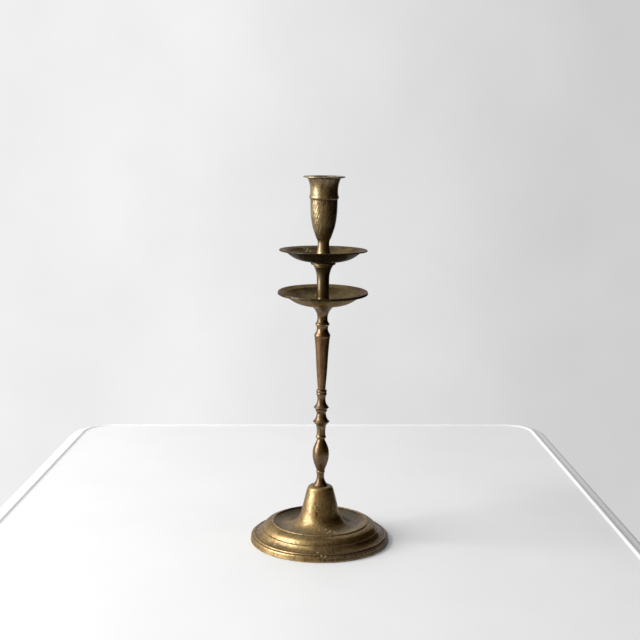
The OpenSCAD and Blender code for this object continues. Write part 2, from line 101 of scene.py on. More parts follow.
in_mm = partial(number, scale=MM, unit="LENGTH")
in_degrees = partial(number, scale=math.radians(1), subtype="ANGLE")


class CANDLESTICK_PG_turning(bpy.types.PropertyGroup):
    edge_wear: in_mm("Edge wear", 0.16, 0.02, 0.6, "How far turned edges are worn round")
    unevenness: in_mm("Unevenness", 0.14, 0, 0.6, "How far the base leaves a true turning")
    lower_tilt: in_degrees("Lower pan's tilt", 1.9, 0, 4, "Lean of the lower bowl to the front")
    upper_tilt: in_degrees("Upper pan's tilt", 0.6, 0, 4, "Lean of the upper bowl to the back")
    stroke_length: in_mm("Stroke length", 8, 3, 16, "Length of a hammer stroke")
    stroke_spacing: in_mm("Stroke spacing", 1.9, 1, 4, "Distance between hammer strokes")
    stroke_depth: in_mm("Stroke depth", 0.28, 0, 0.4, "Depth of a hammer stroke")
    thread_pitch: in_mm("Thread pitch", SCREW_PITCH, 0.4, 1.2, "Rise of a thread's turn")
    nut_width: in_mm("Nut width", 8, 6, 10, "Width of the nut across its flats")


class CANDLESTICK_PG_finish(bpy.types.PropertyGroup):
    base_metal: colour("Base metal", "#A98F5E", "Worn metal of the cast base")
    stem_metal: colour("Stem metal", "#8E774E", "Metal of baluster, knop and capital")
    shaft_metal: colour("Shaft metal", "#8C6C4B", "Redder metal of the shaft")
    pan_metal: colour("Pan metal", "#97855F", "Metal of the drip pans")
    cup_metal: colour("Cup metal", "#A4926A", "Metal of the cup")
    tarnish: colour("Tarnish", "#5C4325", "Brown film that old brass grows")
    patina: colour("Patina", "#5A4C30", "Olive film of the pans and the spacer")
    # Also the colour of the painted shade that pieces put on undersides, rims and far sides
    grime_and_shade: colour("Grime", "#1F160C", "Dark dirt that stays in the grooves")
    polish: colour("Polish", "#CDBB8A", "Edges rubbed bright by hands")
    dust: colour("Dust", "#6B5C3E", "Dull film on surfaces that face up")
    rust_red: colour("Red stain", "#6A3A1C", "Red brown stain where zinc has left the brass")
    steel: colour("Steel", "#8C8983", "Dull steel of studs and nut")
    wax: colour("Wax", "#D9D4C4", "Old candle wax")
    scale: colour("Scale", "#938A6E", "Pale crumbs of lime and polish left in pits")
    verdigris: colour("Verdigris", "#BFC6B2", "Pale green crust of copper salts")


class CANDLESTICK_PG_studio(bpy.types.PropertyGroup):
    table: colour("Table", "#EDEDEC", "White painted table")
    # The wall's two tones are painted light: the window's light falling off across it
    wall_left: colour("Wall at left", "#F0F0F0", "Backdrop where the window lights it")
    wall_right: colour("Wall at right", "#CFCFD0", "Backdrop on the far side")
    screen_front: colour("Screen in front", "#A88F6E", "Unseen screen at the front and left")
    screen_right: colour("Screen at right", "#120B06", "Unseen screen on the dark right side")
    sky: colour("Room light", "#F4F5F7", "Pale light from all round")
    sky_strength: number("Room strength", 0.44, 0, 2, "Strength of the light all round")
    window_power: number("Window power", 75, 0, 300, "Power of the soft window, in watts")
    window_width: in_mm("Window width", 1200, 200, 3000, "Width of the window")
    window_height: in_mm("Window height", 2000, 200, 4000, "Height of the window")
    lens: number("Lens", 68.9, 20, 200, "Focal length on a 36 mm frame, in millimetres")
    camera_back: in_mm("Camera distance", 1141, 300, 4000, "From the camera to the stem")
    camera_height: in_mm("Camera height", 401.8, 0, 2000, "Height above the table")
    camera_down: in_degrees("Camera pitch", 9.28, 0, 60, "How far the camera looks down")
    camera_roll: in_degrees("Camera roll", 0.75, -5, 5, "Turn about the line of sight")
    camera_shift: number("Camera shift", -0.0039, -0.05, 0.05, "Shift as a share of the width")


def settings(kind):
    """The scene's settings of one kind: turning, finish or studio."""
    return getattr(bpy.context.scene, "candlestick_" + kind)


# ---- outlines


def read_array(items, name, width, kind=np.float32):
    """One attribute of all items of a mesh collection, as an array with `width` columns."""
    flat = np.empty(len(items) * width, kind)
    items.foreach_get(name, flat)
    return flat.reshape(-1, width)


def node_outline(node):
    """The outline of a turned CAD node: radius and height of its circles, in the order in
    which they follow each other round the section, and whether the outline closes on itself.

    radius = sqrt(x² + y²) for each vertex; equal (radius, height) pairs are one circle; two
    circles are neighbours where a triangle's side joins them. An outline that doesn't close
    runs from the axis to the axis. It turns so that the outside is on its right hand."""
    mesh = frame["nodes"][node].data
    co = read_array(mesh.vertices, "co", 3).astype(float)
    place = np.stack([np.hypot(co[:, 0], co[:, 1]), co[:, 2]], axis=1)
    rounded, which = np.unique(np.round(place / SAME), axis=0, return_inverse=True)
    rounded *= SAME
    apart = np.linalg.norm(rounded[:, None] - rounded[None], axis=2)
    label = (apart < 3 * SAME).argmax(axis=1)
    label = label[label][which.ravel()]
    sides = np.sort(label[read_array(mesh.edges, "vertices", 2, np.int32)], axis=1)
    sides = np.unique(sides[sides[:, 0] != sides[:, 1]], axis=0)
    beside = {}
    for a, b in sides.tolist():
        beside.setdefault(a, []).append(b)
        beside.setdefault(b, []).append(a)
    ends = [c for c, near in beside.items() if len(near) == 1]
    here, chain = min(ends or beside, key=lambda c: rounded[c][1]), []
    while here is not None:
        chain.append(here)
        here = next((c for c in beside[here] if c not in chain), None)
    if len(chain) != len(beside) or max(map(len, beside.values())) > 2:
        raise ValueError(f"{node}: the outline branches or is in more than one piece")
    outline = rounded[chain]
    if ends:
        first, last = outline[0] * (0, 1), outline[-1] * (0, 1)
        outline = np.concatenate([[first], outline, [last]])
    r, z = outline.T
    if np.sum(r * np.roll(z, -1) - np.roll(r, -1) * z) < 0:
        outline = outline[::-1]
    return outline, not ends


def smooth(values, width, closed, mirror=1):
    """Values spaced FINE apart, averaged with a bell curve of the given width. An open row is
    continued past its ends by its own mirror image, times `mirror`."""
    reach = min(int(4 * width / FINE) + 1, len(values) - 2)
    bell = np.exp(-0.5 * (np.arange(-reach, reach + 1) * FINE / width) ** 2)
    if closed:
        padded = np.concatenate([values[-reach:], values, values[:reach]])
    else:
        before, after = values[reach:0:-1], values[-2 : -reach - 2 : -1]
        padded = np.concatenate([mirror * before, values, mirror * after])
    return np.convolve(padded, bell / bell.sum(), "valid")


def flowing_outline(outline, closed, wear):
    """The outline drawn FINE apart as smooth curves between its sharp corners, then worn.

    At a point where the outline turns by less than CORNER its direction is the mean of the
    two straight ways beside it, each weighted by the other's length, or that of the longer
    one if it is three times as long; between two points runs the cubic with those directions.
    A bell curve of width `wear` then rounds the rest."""
    way = np.diff(np.concatenate([outline, outline[:1]]) if closed else outline, axis=0)
    length = np.linalg.norm(way, axis=1)
    heading = np.arctan2(way[:, 1], way[:, 0])
    before = np.roll(heading, 1)
    turn = (heading - before + math.pi) % TURN - math.pi
    short, long = np.roll(length, 1), length
    soft = np.abs(turn) < CORNER
    if not closed:
        soft[0] = False
    soft_end = np.roll(soft, -1)
    weight = np.where(short > 3 * long, 0, short / (short + long))
    mean = before + turn * np.where(long > 3 * short, 1, weight)
    start = np.where(soft, mean, heading)
    end = np.where(soft_end, np.roll(mean, -1), heading)
    # Beside a corner the curve leaves its straight way as much as it does at the other end
    start = np.where(~soft & soft_end, 2 * heading - end, start)
    end = np.where(soft & ~soft_end, 2 * heading - start, end)
    at = np.concatenate([[0], np.cumsum(length)])
    s = np.linspace(0, at[-1], int(at[-1] / FINE) + 2)[: -1 if closed else None]
    k = np.clip(np.searchsorted(at, s, "right") - 1, 0, len(length) - 1)
    t = ((s - at[k]) / length[k])[:, None]
    p0, p1 = outline[k], outline[(k + 1) % len(outline)]
    d0, d1 = (length[k, None] * np.stack([np.cos(course[k]), np.sin(course[k])], axis=1)
              for course in (start, end))
    fine = (
        (1 + 2 * t) * (1 - t) ** 2 * p0 + t * (1 - t) ** 2 * d0
        + t**2 * (3 - 2 * t) * p1 - t**2 * (1 - t) * d1
    )
    r = smooth(fine[:, 0], wear, closed, -1)
    z = smooth(fine[:, 1], wear, closed)
    if not closed:
        r[0] = r[-1] = 0
    return np.stack([r, z], axis=1)


def bend_of(fine, closed, width):
    """How much the outline bends at each point, in 1/m, outward bends positive, seen at the
    scale of `width`: the turn of its direction over the way gone."""
    r = smooth(fine[:, 0], width, closed, -1)
    z = smooth(fine[:, 1], width, closed)
    dr, dz = np.gradient(r), np.gradient(z)
    step = np.hypot(dr, dz) + 1e-12
    return np.gradient(np.unwrap(np.arctan2(dz, dr))) / step


def pick_rows(fine, closed, step, stretch):
    """Positions of the rows along an outline. Their spacing is `step` on straight stretches
    and step / (1 + |bend| · CROWDING) in bends, times `stretch` at each point."""
    spacing = step / (1 + np.abs(bend_of(fine, closed, 0.12 * MM)) * CROWDING)
    spacing = smooth(spacing * stretch, 0.35 * MM, closed)
    way = np.hypot(*np.diff(fine, axis=0, append=fine[:1] if closed else fine[-1:]).T)
    count = np.concatenate([[0], np.cumsum(way / spacing)[: None if closed else -1]])
    rows = np.linspace(0, count[-1], max(int(count[-1]), 8))[: -1 if closed else None]
    return np.interp(rows, count, np.arange(len(count)))


# ---- meshes


def angles(sides):
    """The angles of a turned surface's columns, evenly round the axis."""
    return np.arange(sides) / sides * TURN


def around(r, z, angle):
    """Points or directions round the stem's axis: (r cos angle, r sin angle, z)."""
    return np.stack(np.broadcast_arrays(r * np.cos(angle), r * np.sin(angle), z), axis=-1)


def grid_faces(rows, columns, closed=False, first_pole=False, last_pole=False):
    """The faces of a grid of `rows` by `columns` vertices that closes round its columns, and
    round its rows if `closed`. A pole is a single vertex in place of its row.

    Vertex number = start of its row + column; a face joins a row to the next one up."""
    start = np.arange(rows) * columns
    if first_pole:
        start[1:] -= columns - 1
    j = np.arange(columns)
    k = (j + 1) % columns
    low = np.arange(rows if closed else rows - 1)
    high = (low + 1) % rows
    skip = np.zeros(len(low), bool)
    skip[0] |= first_pole
    skip[-1] |= last_pole
    a, b = start[low[~skip], None], start[high[~skip], None]
    faces = np.stack([a + j, a + k, b + k, b + j], axis=2).reshape(-1, 4).tolist()
    if first_pole:
        faces += np.stack([0 * j, start[1] + k, start[1] + j], axis=1).tolist()
    if last_pole:
        faces += np.stack([start[-2] + j, start[-2] + k, 0 * j + start[-1]], axis=1).tolist()
    return faces


def sheet_faces(rows, columns):
    """The faces of an open grid: vertex number = row · columns + column."""
    i, j = np.meshgrid(np.arange(rows - 1), np.arange(columns - 1), indexing="ij")
    a = (i * columns + j).ravel()
    return np.stack([a, a + 1, a + columns + 1, a + columns], axis=1).tolist()


def make_mesh(name, points, faces, **attributes):
    """A smooth-shaded object at the origin from an array of points and a list of faces, with
    one number per point in each named attribute."""
    mesh = bpy.data.meshes.new(name)
    mesh.from_pydata(points.reshape(-1, 3), [], faces, shade_flat=False)
    if mesh.validate(verbose=False):
        raise ValueError(f"{name}: the mesh had faces that can't be")
    for title, values in attributes.items():
        layer = mesh.attributes.new(title, "FLOAT", "POINT")
        layer.data.foreach_set("value", np.ascontiguousarray(values, np.float32))
    made = bpy.data.objects.new(name, mesh)
    bpy.context.scene.collection.objects.link(made)
    return made


def make_piece(name, node, points, closed, **fields):
    """A piece in place of a CAD node, from a grid of points round the stem's axis. Its rows
    close on themselves, or else the first and the last are drawn in to poles on the axis.
    Each field holds numbers from -1 to 1 for the grid's points."""
    keep = np.ones(points.shape[:2], bool)
    if not closed:
        keep[[0, -1], 1:] = False
        points[[0, -1], :, :2] = 0
    fields = {
        title: np.broadcast_to(np.clip(values, -1, 1), keep.shape)[keep]
        for title, values in fields.items()
    }
    faces = grid_faces(*keep.shape, closed, not closed, not closed)
    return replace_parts(make_mesh(name, points[keep], faces, **fields), node)


def unevenness(points, size, seed):
    """A smooth random field between about -1 and 1 at each point of an array: the sum of 24
    plane waves cos(k · p + phase) in random directions, with wavelengths round `size`."""
    chance = np.random.default_rng(seed)
    k = chance.normal(size=(24, 3))
    k /= np.linalg.norm(k, axis=1, keepdims=True)
    k *= TURN / (size * chance.uniform(0.7, 1.7, (24, 1)))
    phase = chance.uniform(0, TURN, 24)
    waves = np.cos(points.reshape(-1, 3) @ k.T + phase).sum(axis=1)
    return np.clip(waves / 7, -1, 1).reshape(points.shape[:-1])


def soft_step(low, high, x):
    """0 below `low`, 1 above `high`, and 3t² - 2t³ between."""
    t = np.clip((x - low) / (high - low), 0, 1)
    return t * t * (3 - 2 * t)


class Turning:
    """A CAD node's outline, drawn again as a dense turned surface.

    point(angle, row) = (r cos angle, r sin angle, z), with r and z from the outline and moved
    along its normal by `raised` (metres), which may differ all over the grid. `inside` tells
    which points of an outline are hidden; their rows are `coarse` times as far apart. `edge`
    goes from -1 in a hollow to 1 on a sharp edge: it is the tanh of 0.45 mm times the bend
    seen at a scale of 0.35 mm plus 0.9 mm times the bend seen at 1.1 mm."""

    def __init__(self, node, sides, step, coarse=1, inside=lambda outline: False):
        self.node, self.angle = node, angles(sides)
        outline, self.closed = node_outline(node)
        fine = flowing_outline(outline, self.closed, settings("turning").edge_wear)
        at = pick_rows(fine, self.closed, step, np.where(inside(fine), coarse, 1))
        bends = [bend_of(fine, self.closed, scale * MM) for scale in (0.35, 1.1)]
        count = len(fine)
        self.r, self.z, sharp, broad, along_r, along_z = (
            np.interp(at, np.arange(count), values, period=count if self.closed else None)
            for values in (*fine.T, *bends, *np.gradient(fine, axis=0).T)
        )
        self.edge = np.tanh(0.45 * MM * sharp + 0.9 * MM * broad)
        along = np.hypot(along_r, along_z) + 1e-12
        self.out_r, self.out_z = along_z / along, -along_r / along

    def shell(self):
        """Grid of points, rows by columns, before anything is raised."""
        return around(self.r[:, None], self.z[:, None], self.angle)

    def build(self, name, raised=0, shift=None, **fields):
        """The finished piece: `raised` moves points along the normal, `shift` up."""
        points = self.shell()
        normal = around(self.out_r[:, None], self.out_z[:, None], self.angle)
        points = points + normal * np.broadcast_to(raised, points.shape[:2])[..., None]
        if shift is not None:
            points[..., 2] += shift(points)
        fields = {"edge": self.edge[:, None], "dust": 0, "marks": 0, **fields}
        return make_piece(name, self.node, points, self.closed, **fields)


def facing_up(turning):
    """How far each row faces up: 0 on walls and undersides, 1 on flat tops."""
    return soft_step(0.55, 0.95, turning.out_z)


def underside(turning):
    """How far each row faces down: 0 on walls, 1 where it leans out by 37 degrees or more."""
    return soft_step(0.05, 0.6, -turning.out_z)


def spots(points, centres):
    """Soft round marks: the largest of exp(-(distance / radius)²) over the given places,
    each (x, y, z, radius) in millimetres."""
    mark = np.zeros(points.shape[:-1])
    for x, y, z, radius in centres:
        apart = np.linalg.norm(points - np.array([x, y, z]) * MM, axis=-1)
        mark = np.maximum(mark, np.exp(-((apart / (radius * MM)) ** 2)))
    return mark


def strokes(turning, low, high, lean):
    """Hammer strokes on a goblet, 0 to 1, and where they are: the surface is unrolled and cut
    into slanting columns one spacing wide and rows one stroke long, each column starting at
    its own height; a stroke is sin(pi a) across its cell and a soft bump along it, with its
    own strength."""
    how = settings("turning")
    # Radius of the goblet at which the strokes lie their spacing apart
    round_goblet = TURN * 10.273 * MM
    columns = int(round(round_goblet / how.stroke_spacing))
    z = turning.z[:, None]
    across = (turning.angle / TURN - z * math.tan(lean) / round_goblet) * columns
    i, a = np.floor(across).astype(int) % columns, across % 1
    chance = np.random.default_rng(41)
    # More rows than a column has strokes, so that none of its strengths comes twice
    rows = 32
    start, strength = chance.uniform(0, 1, columns), chance.uniform(0.15, 1, (columns, rows))
    stretch = chance.uniform(0.75, 1.3, columns)
    along = z / (how.stroke_length * stretch[i]) + start[i]
    j, b = np.floor(along).astype(int) % rows, along % 1
    bump = np.sin(math.pi * a) ** 0.8 * np.sin(math.pi * b) ** 0.6 * strength[i, j]
    where = soft_step(low - 3 * MM, low + 3 * MM, z) * (1 - soft_step(high - 2 * MM, high, z))
    where = where * (turning.out_r > 0.5)[:, None]
    return bump * where, where


def threaded(name, node, pitch, depth):
    """A threaded stud: r(angle, z) = root + depth · t(z / pitch - angle / turn), where t is a
    smoothed triangle wave that fades out within one pitch of either end; a right hand thread.
    Eight rows draw each turn, and the ends have a chamfer of 0.2 mm."""
    low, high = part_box(node)
    bottom, top, angle = low.z, high.z, angles(60)
    z = np.linspace(bottom, top, int((top - bottom) / (pitch / 8)))
    z = np.concatenate([[bottom, bottom], z, [top, top]])[:, None]
    wave = soft_step(0.05, 0.95, 1 - np.abs(2 * ((z / pitch - angle / TURN) % 1) - 1))
    fade = soft_step(0, pitch, np.minimum(z - bottom, top - z))
    r = high.x - depth + depth * wave * fade
    r[[1, -2]] *= 0.93
    z[2] += 0.2 * MM
    z[-3] -= 0.2 * MM
    return make_piece(name, node, around(r, z, angle), False, edge=(2 * wave - 1) * fade)


def hexagon_nut(name, node, width, bore):
    """A hexagonal nut. Its outer radius at an angle is the smaller of the hexagon's,
    width / 2 / cos(angle from the middle of the flat), and that of the cones that break its
    corners; the section runs from the bore to that radius and back."""
    low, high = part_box(node)
    angle = angles(180)
    flat = width / 2 / np.cos((angle + TURN / 12) % (TURN / 6) - TURN / 12)
    up = np.linspace(0, 1, 14)
    share = np.concatenate([[0, 0.5], np.ones(len(up)), [0.5, 0]])[:, None]
    z = low.z + (high.z - low.z) * np.concatenate([[0, 0], up, [1, 1]])[:, None]
    corner = width / 2 / math.cos(TURN / 12)
    cone = corner - 0.9 * MM + 2.2 * np.minimum(z - low.z, high.z - z)
    outer = np.minimum(flat, np.maximum(cone, width / 2 * 0.97))
    points = around(bore + share * (outer - bore), z, angle)
    edge = np.where(share == 1, 0.5 * (flat > corner * 0.985), 0)
    return make_piece(name, node, points, True, edge=edge)


# ---- finishes


def add(tree, kind, inputs=None, output=0, **options):
    """Adds a node with its options, and gives back one of its outputs. `inputs` holds, under
    the name or number of an input, its value or the socket that is linked to it."""
    made = tree.nodes.new(kind)
    for key, value in options.items():
        setattr(made, key, value)
    for key, value in (inputs or {}).items():
        if isinstance(value, bpy.types.NodeSocket):
            tree.links.new(value, made.inputs[key])
        else:
            made.inputs[key].default_value = value
    return made.outputs[output] if made.outputs else None


def new_material(name):
    """An empty node material, its tree, and the Object coordinates that its patterns read."""
    made = bpy.data.materials.new(name)
    made.use_nodes = True
    made.node_tree.nodes.clear()
    return made, made.node_tree, add(made.node_tree, "ShaderNodeTexCoord", output="Object")


def rgba(value):
    """A colour with its fourth number, as a colour socket takes it."""
    return (*value, 1.0)


def old_brass(name, metal, tarnished, mottled, rough, dusty=0.0, stained=0.0, lines=0.4,
              runs=0.2, coat=0.25, rub=0.4, film_tone=None, crust=None):
    """Old turned brass, CuZn37 that has been handled for decades. To the eye it is a warm
    metal whose highlights stay soft: a film lies over it in clouds, dirt darkens every
    hollow, edges are rubbed bright, and the turning tool's fine rings still show. Where a
    piece lowers its `edge` attribute on undersides, rims and far sides, the film and the dirt
    colour paint shade there.

    The film is `tarnished` thick, more in clouds of 16 mm, blotches of 2.6 mm and runs 2 mm
    wide and 24 mm long, less on edges; it is brown, or has `film_tone`. Where the piece has
    marks it may have a ragged pale `crust`. Patterns read Object coordinates."""
    look = settings("finish")
    made, tree, where = new_material(name)
    mm = add(tree, "ShaderNodeVectorMath", {0: where, "Scale": 1 / MM}, operation="SCALE")
    edge, dust, marks = (
        add(tree, "ShaderNodeAttribute", output="Fac", attribute_name=title)
        for title in ("edge", "dust", "marks")
    )
    smoothly = {"interpolation_type": "SMOOTHSTEP"}

    def pattern(vector, size, detail, roughness, low, high, distortion=0.0):
        """Noise of one size, spread so that it runs from 0 at `low` to 1 at `high`."""
        raw = add(tree, "ShaderNodeTexNoise", {
            "Vector": vector, "Scale": 1 / size, "Detail": detail, "Roughness": roughness,
            "Distortion": distortion})
        return add(tree, "ShaderNodeMapRange", {0: raw, 1: low, 2: high}, **smoothly)

    def sums(*terms, start=0.0):
        """start + the sum of socket × factor, held between 0 and 1 after the last."""
        total = start
        for count, (socket, factor) in enumerate(terms, 1):
            total = add(tree, "ShaderNodeMath", {0: socket, 1: factor, 2: total},
                        operation="MULTIPLY_ADD", use_clamp=count == len(terms))
        return total

    clouds = pattern(mm, 16, 3, 0.55, 0.36, 0.64, 0.4)
    blotch = pattern(mm, 2.6, 5, 0.62, 0.34, 0.68, 0.3)
    # Real tooth marks are 0.1 mm apart; 0.9 mm grain is the finest that shows in the render
    grain = pattern(mm, 0.9, 4, 0.6, 0.3, 0.7)
    fall = add(tree, "ShaderNodeMapping", {0: mm, "Scale": (1 / 2, 1 / 2, 1 / 24)})
    drips = pattern(fall, 1, 3, 0.5, 0.42, 0.66)
    # Rings of the turning tool, 0.1 mm apart on the real one, are drawn 0.7 mm apart; they
    # waver by 1.2 % of a point's own place
    flat = add(tree, "ShaderNodeVectorMath", {0: mm, 1: (1, 1, 0)}, operation="MULTIPLY")
    radius = add(tree, "ShaderNodeVectorMath", {0: flat}, "Value", operation="LENGTH")
    height = add(tree, "ShaderNodeSeparateXYZ", {0: mm}, "Z")
    section = add(tree, "ShaderNodeCombineXYZ", {0: radius, 1: height})
    waver = add(tree, "ShaderNodeVectorMath", {0: mm, 1: (0.012,) * 3, 2: section},
                operation="MULTIPLY_ADD")
    rings = pattern(waver, 0.7, 2, 0.5, 0.3, 0.7)

    film = sums((clouds, 0.9 * mottled), (blotch, 0.7 * mottled), (drips, runs),
                (edge, -0.45), (grain, 0.12), start=tarnished - 0.8 * mottled - runs / 2)
    patches = add(tree, "ShaderNodeMapRange", {0: blotch, 1: 0.1, 2: 0.9}, **smoothly)
    stain = add(tree, "ShaderNodeMath",
                {0: pattern(mm, 9, 4, 0.6, 0.53, 0.7, 1.2), 1: patches}, operation="MULTIPLY")
    # Dirt in hollows, and the painted shade that pieces put into `edge` on undersides, rims and
    # far sides
    groove_and_shade = sums((edge, -1.5), (blotch, 0.35), (grain, 0.15), start=-0.55)
    rubbed = sums((edge, 1.5), (grain, -0.3), (blotch, -0.3), start=-0.45)
    rubbed = sums((rubbed, rub))
    speckle = add(tree, "ShaderNodeMath", {0: dust, 1: blotch}, operation="MULTIPLY")
    powder = sums((dust, dusty), (speckle, 0.3 * dusty), (groove_and_shade, 0.15 * dusty))
    layers = [(film, film_tone or look.tarnish), (sums((stain, stained)), look.rust_red),
              (groove_and_shade, look.grime_and_shade), (rubbed, look.polish), (powder, look.dust)]
    sheen = sums((film, 0.12), (groove_and_shade, 0.3), (rubbed, -0.12), (powder, 0.35),
                 (grain, 0.06), (blotch, 0.05), start=rough)
    solid = sums((powder, -0.75), (groove_and_shade, -0.25), start=1.0)
    relief = sums((rings, lines), (blotch, 0.3), (grain, 0.25))
    if crust is not None:
        ragged = sums((marks, 1.0), (grain, 0.5), (blotch, 0.4), start=-0.62)
        pale = add(tree, "ShaderNodeMapRange", {0: ragged, 1: 0.25, 2: 0.6}, **smoothly)
        layers.append((pale, crust))
        solid = sums((solid, 1.0), (pale, -0.9))
        sheen = sums((sheen, 1.0), (pale, 0.3))
        relief = sums((relief, 0.7), (pale, 0.5))
    skin = rgba(metal)
    for share, tone in layers:
        skin = add(tree, "ShaderNodeMix", {0: share, 6: skin, 7: rgba(tone)}, 2,
                   data_type="RGBA")
    bump = add(tree, "ShaderNodeBump",
               {"Strength": 0.55, "Distance": 0.1 * MM, "Height": relief})
    # The thin coat is the grease of handling; the tint keeps grazing reflections warm
    shader = add(tree, "ShaderNodeBsdfPrincipled", {
        "Base Color": skin, "Roughness": sheen, "Metallic": solid, "Normal": bump,
        "Coat Weight": coat, "Coat Roughness": 0.22,
        "Specular Tint": rgba(linear("#9A8468"))})
    add(tree, "ShaderNodeOutputMaterial", {0: shader})
    return made


def rolled_steel(name):
    """Plain carbon steel with a rolled thread, dulled by years inside the stem: grey, with
    bright thread crests and brown traces of rust at the roots, in flecks of 1.5 mm."""
    made, tree, where = new_material(name)
    edge = add(tree, "ShaderNodeAttribute", output="Fac", attribute_name="edge")
    fleck = add(tree, "ShaderNodeTexNoise", {
        "Vector": where, "Scale": 1 / (1.5 * MM), "Detail": 5, "Roughness": 0.65})
    rust = add(tree, "ShaderNodeMath", {0: edge, 1: -0.5, 2: 0.15},
               operation="MULTIPLY_ADD", use_clamp=True)
    rust = add(tree, "ShaderNodeMath", {0: rust, 1: fleck}, operation="ADD", use_clamp=True)
    level = add(tree, "ShaderNodeMapRange", {0: rust, 1: 0.45, 2: 0.95})
    skin = add(tree, "ShaderNodeMix", {
        0: level, 6: rgba(settings("finish").steel), 7: rgba(linear("#4A3524"))}, 2,
        data_type="RGBA")
    sheen = add(tree, "ShaderNodeMapRange", {0: level, 3: 0.38, 4: 0.75})
    bump = add(tree, "ShaderNodeBump",
               {"Strength": 0.3, "Distance": 0.05 * MM, "Height": fleck})
    shader = add(tree, "ShaderNodeBsdfPrincipled", {
        "Base Color": skin, "Roughness": sheen, "Metallic": 0.95, "Normal": bump})
    add(tree, "ShaderNodeOutputMaterial", {0: shader})
    return made


def finish(piece, body, material):
    """Gives a piece its material and its body."""
    piece.data.materials.append(material)
    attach(piece, body)


# ---- pieces


class CANDLESTICK_OT_base(bpy.types.Operator):
    """Turns the cast base with its worn skirt, dusty dish and stained boss"""

    bl_idname = "candlestick.base"
    bl_label = "Cast base"

    # Rough crusted places on the base: x, y, z and radius, in millimetres
    pits = (
        (1.9, -24.6, 18.2, 1.3), (5.7, -25.1, 17.4, 1.4), (9.5, -25.4, 16.5, 1.4),
        (12.4, -23.5, 16.9, 1.2), (3.8, -27.5, 16.2, 1.3), (7.6, -28.4, 15.6, 1.4),
        (14.2, -25.6, 15.6, 1.2), (-0.9, -25.5, 17.5, 1.1),
        (14, -42.9, 19.4, 1.4), (-1.8, -60.5, 7.6, 1.4), (1.8, -64.3, 6, 1.6),
        (5.5, -64.9, 5.6, 1.4), (-47.2, -34.1, 9.2, 2.2), (-42.2, -41.7, 8.3, 1.8),
        (-20.2, -7.8, 21.5, 1.3), (-22.7, 19.4, 15.4, 1.4), (43.5, -2.4, 18, 1.4),
        (-2.6, -15.6, 38.4, 0.9), (0.1, -16, 37.6, 0.8), (-2.8, -16.8, 33, 0.9),
        (46.2, -9.5, 18.2, 1.8), (49.9, -11.6, 16, 2), (-35, 44, 12, 2.6), (22, 51, 12, 2.2),
    )

    # Marks on the boss, drawn as low folds of the casting: two slanting lines that meet
    # below, and a short one beside them; x, y, z and radius, in millimetres
    folds = (
        (-5.2, -14.3, 40.8, 0.9), (-4.5, -14.9, 39.2, 0.9), (-3.9, -15.5, 37.6, 0.9),
        (-3, -16.1, 36, 0.9), (-1.8, -16.7, 34.6, 1), (-0.7, -16.5, 35.6, 0.9),
        (-1, -16, 37.4, 0.9), (-1.3, -15.6, 39, 0.8), (1.2, -15.7, 38.6, 0.7),
        (1, -16.2, 36.8, 0.7), (-4.2, -16.8, 32.6, 0.8), (-4, -17.3, 30.6, 0.8),
    )

    @staticmethod
    def roof(r):
        """Height under which a point of the base's section lies inside the hollow: a line
        through the middle of the cast wall, from the rim over the dome into the boss."""
        return MM * np.interp(
            r / MM, [0, 11.4, 15.5, 20.5, 34, 45, 54.9, 61.4, 65.2, 65.7],
            [52, 50.8, 34, 20.9, 13.6, 16.8, 11.2, 5.8, 3.8, -1000],
        )

    def execute(self, context):
        look, how = settings("finish"), settings("turning")
        shape = Turning("base", sides=384, step=0.95 * MM, coarse=2.6,
                        inside=lambda o: o[:, 1] < self.roof(o[:, 0]))
        points = shape.shell()
        crust, fold = spots(points, self.pits), spots(points, self.folds)
        wave, grit = unevenness(points, 19 * MM, 3), unevenness(points, 2.4 * MM, 5)
        raised = how.unevenness * (0.75 * wave - 0.75) - 0.12 * MM * crust * (0.5 - grit)
        raised += 0.16 * MM * fold
        # The foot ring stays true, and from 1.5 mm up the casting is uneven
        raised *= soft_step(0, 1.5 * MM, shape.z)[:, None]
        dish = facing_up(shape) * (1 - soft_step(42 * MM, 44.5 * MM, shape.r))
        # Painted shade: the edge value is lowered at the right, most of all on the skirt, and at
        # the back
        skirt = soft_step(61.5 * MM, 63 * MM, shape.r)[:, None]
        right = soft_step(-0.3, 0.9, np.cos(shape.angle + math.radians(35)))
        back = soft_step(0.1, 0.8, np.sin(shape.angle))
        side_shade = np.maximum((0.12 + 0.6 * skirt) * right, 0.85 * back)
        piece = shape.build("base_casting", raised, dust=dish[:, None], marks=crust,
                            edge=shape.edge[:, None] - side_shade - 0.55 * fold)
        # Pale warm metal with a patchy film, dust in the dish and crumbs in the pits
        metal = old_brass(
            "cast_brass_turned_and_rubbed", look.base_metal, tarnished=0.38, mottled=0.42,
            rough=0.36, dusty=0.4, stained=0.7, lines=0.15, runs=0.35, coat=0.55, rub=0.3,
            crust=look.scale)
        finish(piece, "stand", metal)
        return {"FINISHED"}


